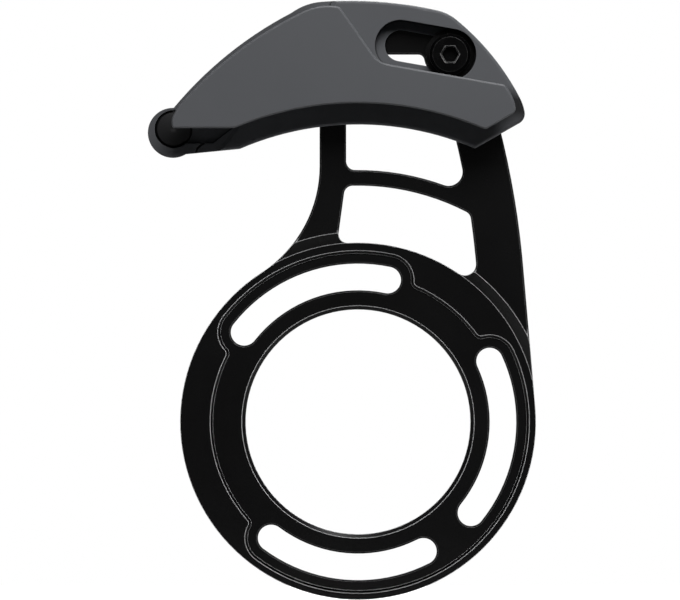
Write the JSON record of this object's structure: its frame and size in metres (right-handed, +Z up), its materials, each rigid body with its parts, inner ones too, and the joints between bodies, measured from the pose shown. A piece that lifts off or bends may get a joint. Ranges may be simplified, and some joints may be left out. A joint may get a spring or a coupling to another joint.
{
  "type": "bicycle chain guide",
  "caption": "Bicycle chain guide: a slotted mounting ring with an open arm carries a moulded guide channel that slides along a clamped slot to sit over the chainring.",
  "frame": {"origin": "centre of the ring's bore in the plane of the mounting face", "axes": "+Y along the chainring axis towards the bicycle frame, +Z up towards the guide, +X towards the guide's adjusting screw"},
  "size_m": [0.0802, 0.0241, 0.1238],
  "materials": {
    "black_aluminium": "black anodised, satin",
    "grey_plastic": "fine matt texture",
    "black_rubber": "matt",
    "black_steel": "black oxide"
  },
  "bodies": {
    "plate": {"back_plate": "black_aluminium", "adjust_screw": "black_steel", "screw_washer": "black_steel"},
    "guide": {"inner_guide": "grey_plastic", "outer_guide": "grey_plastic", "nose_bumper": "black_rubber", "join_screws": "black_steel"}
  },
  "joints": [
    {"name": "guide_slide", "type": "slide", "parent": "plate", "child": "guide", "axis": [0.9848, 0, -0.1736], "range_m": [0, 0.0083]}
  ]
}
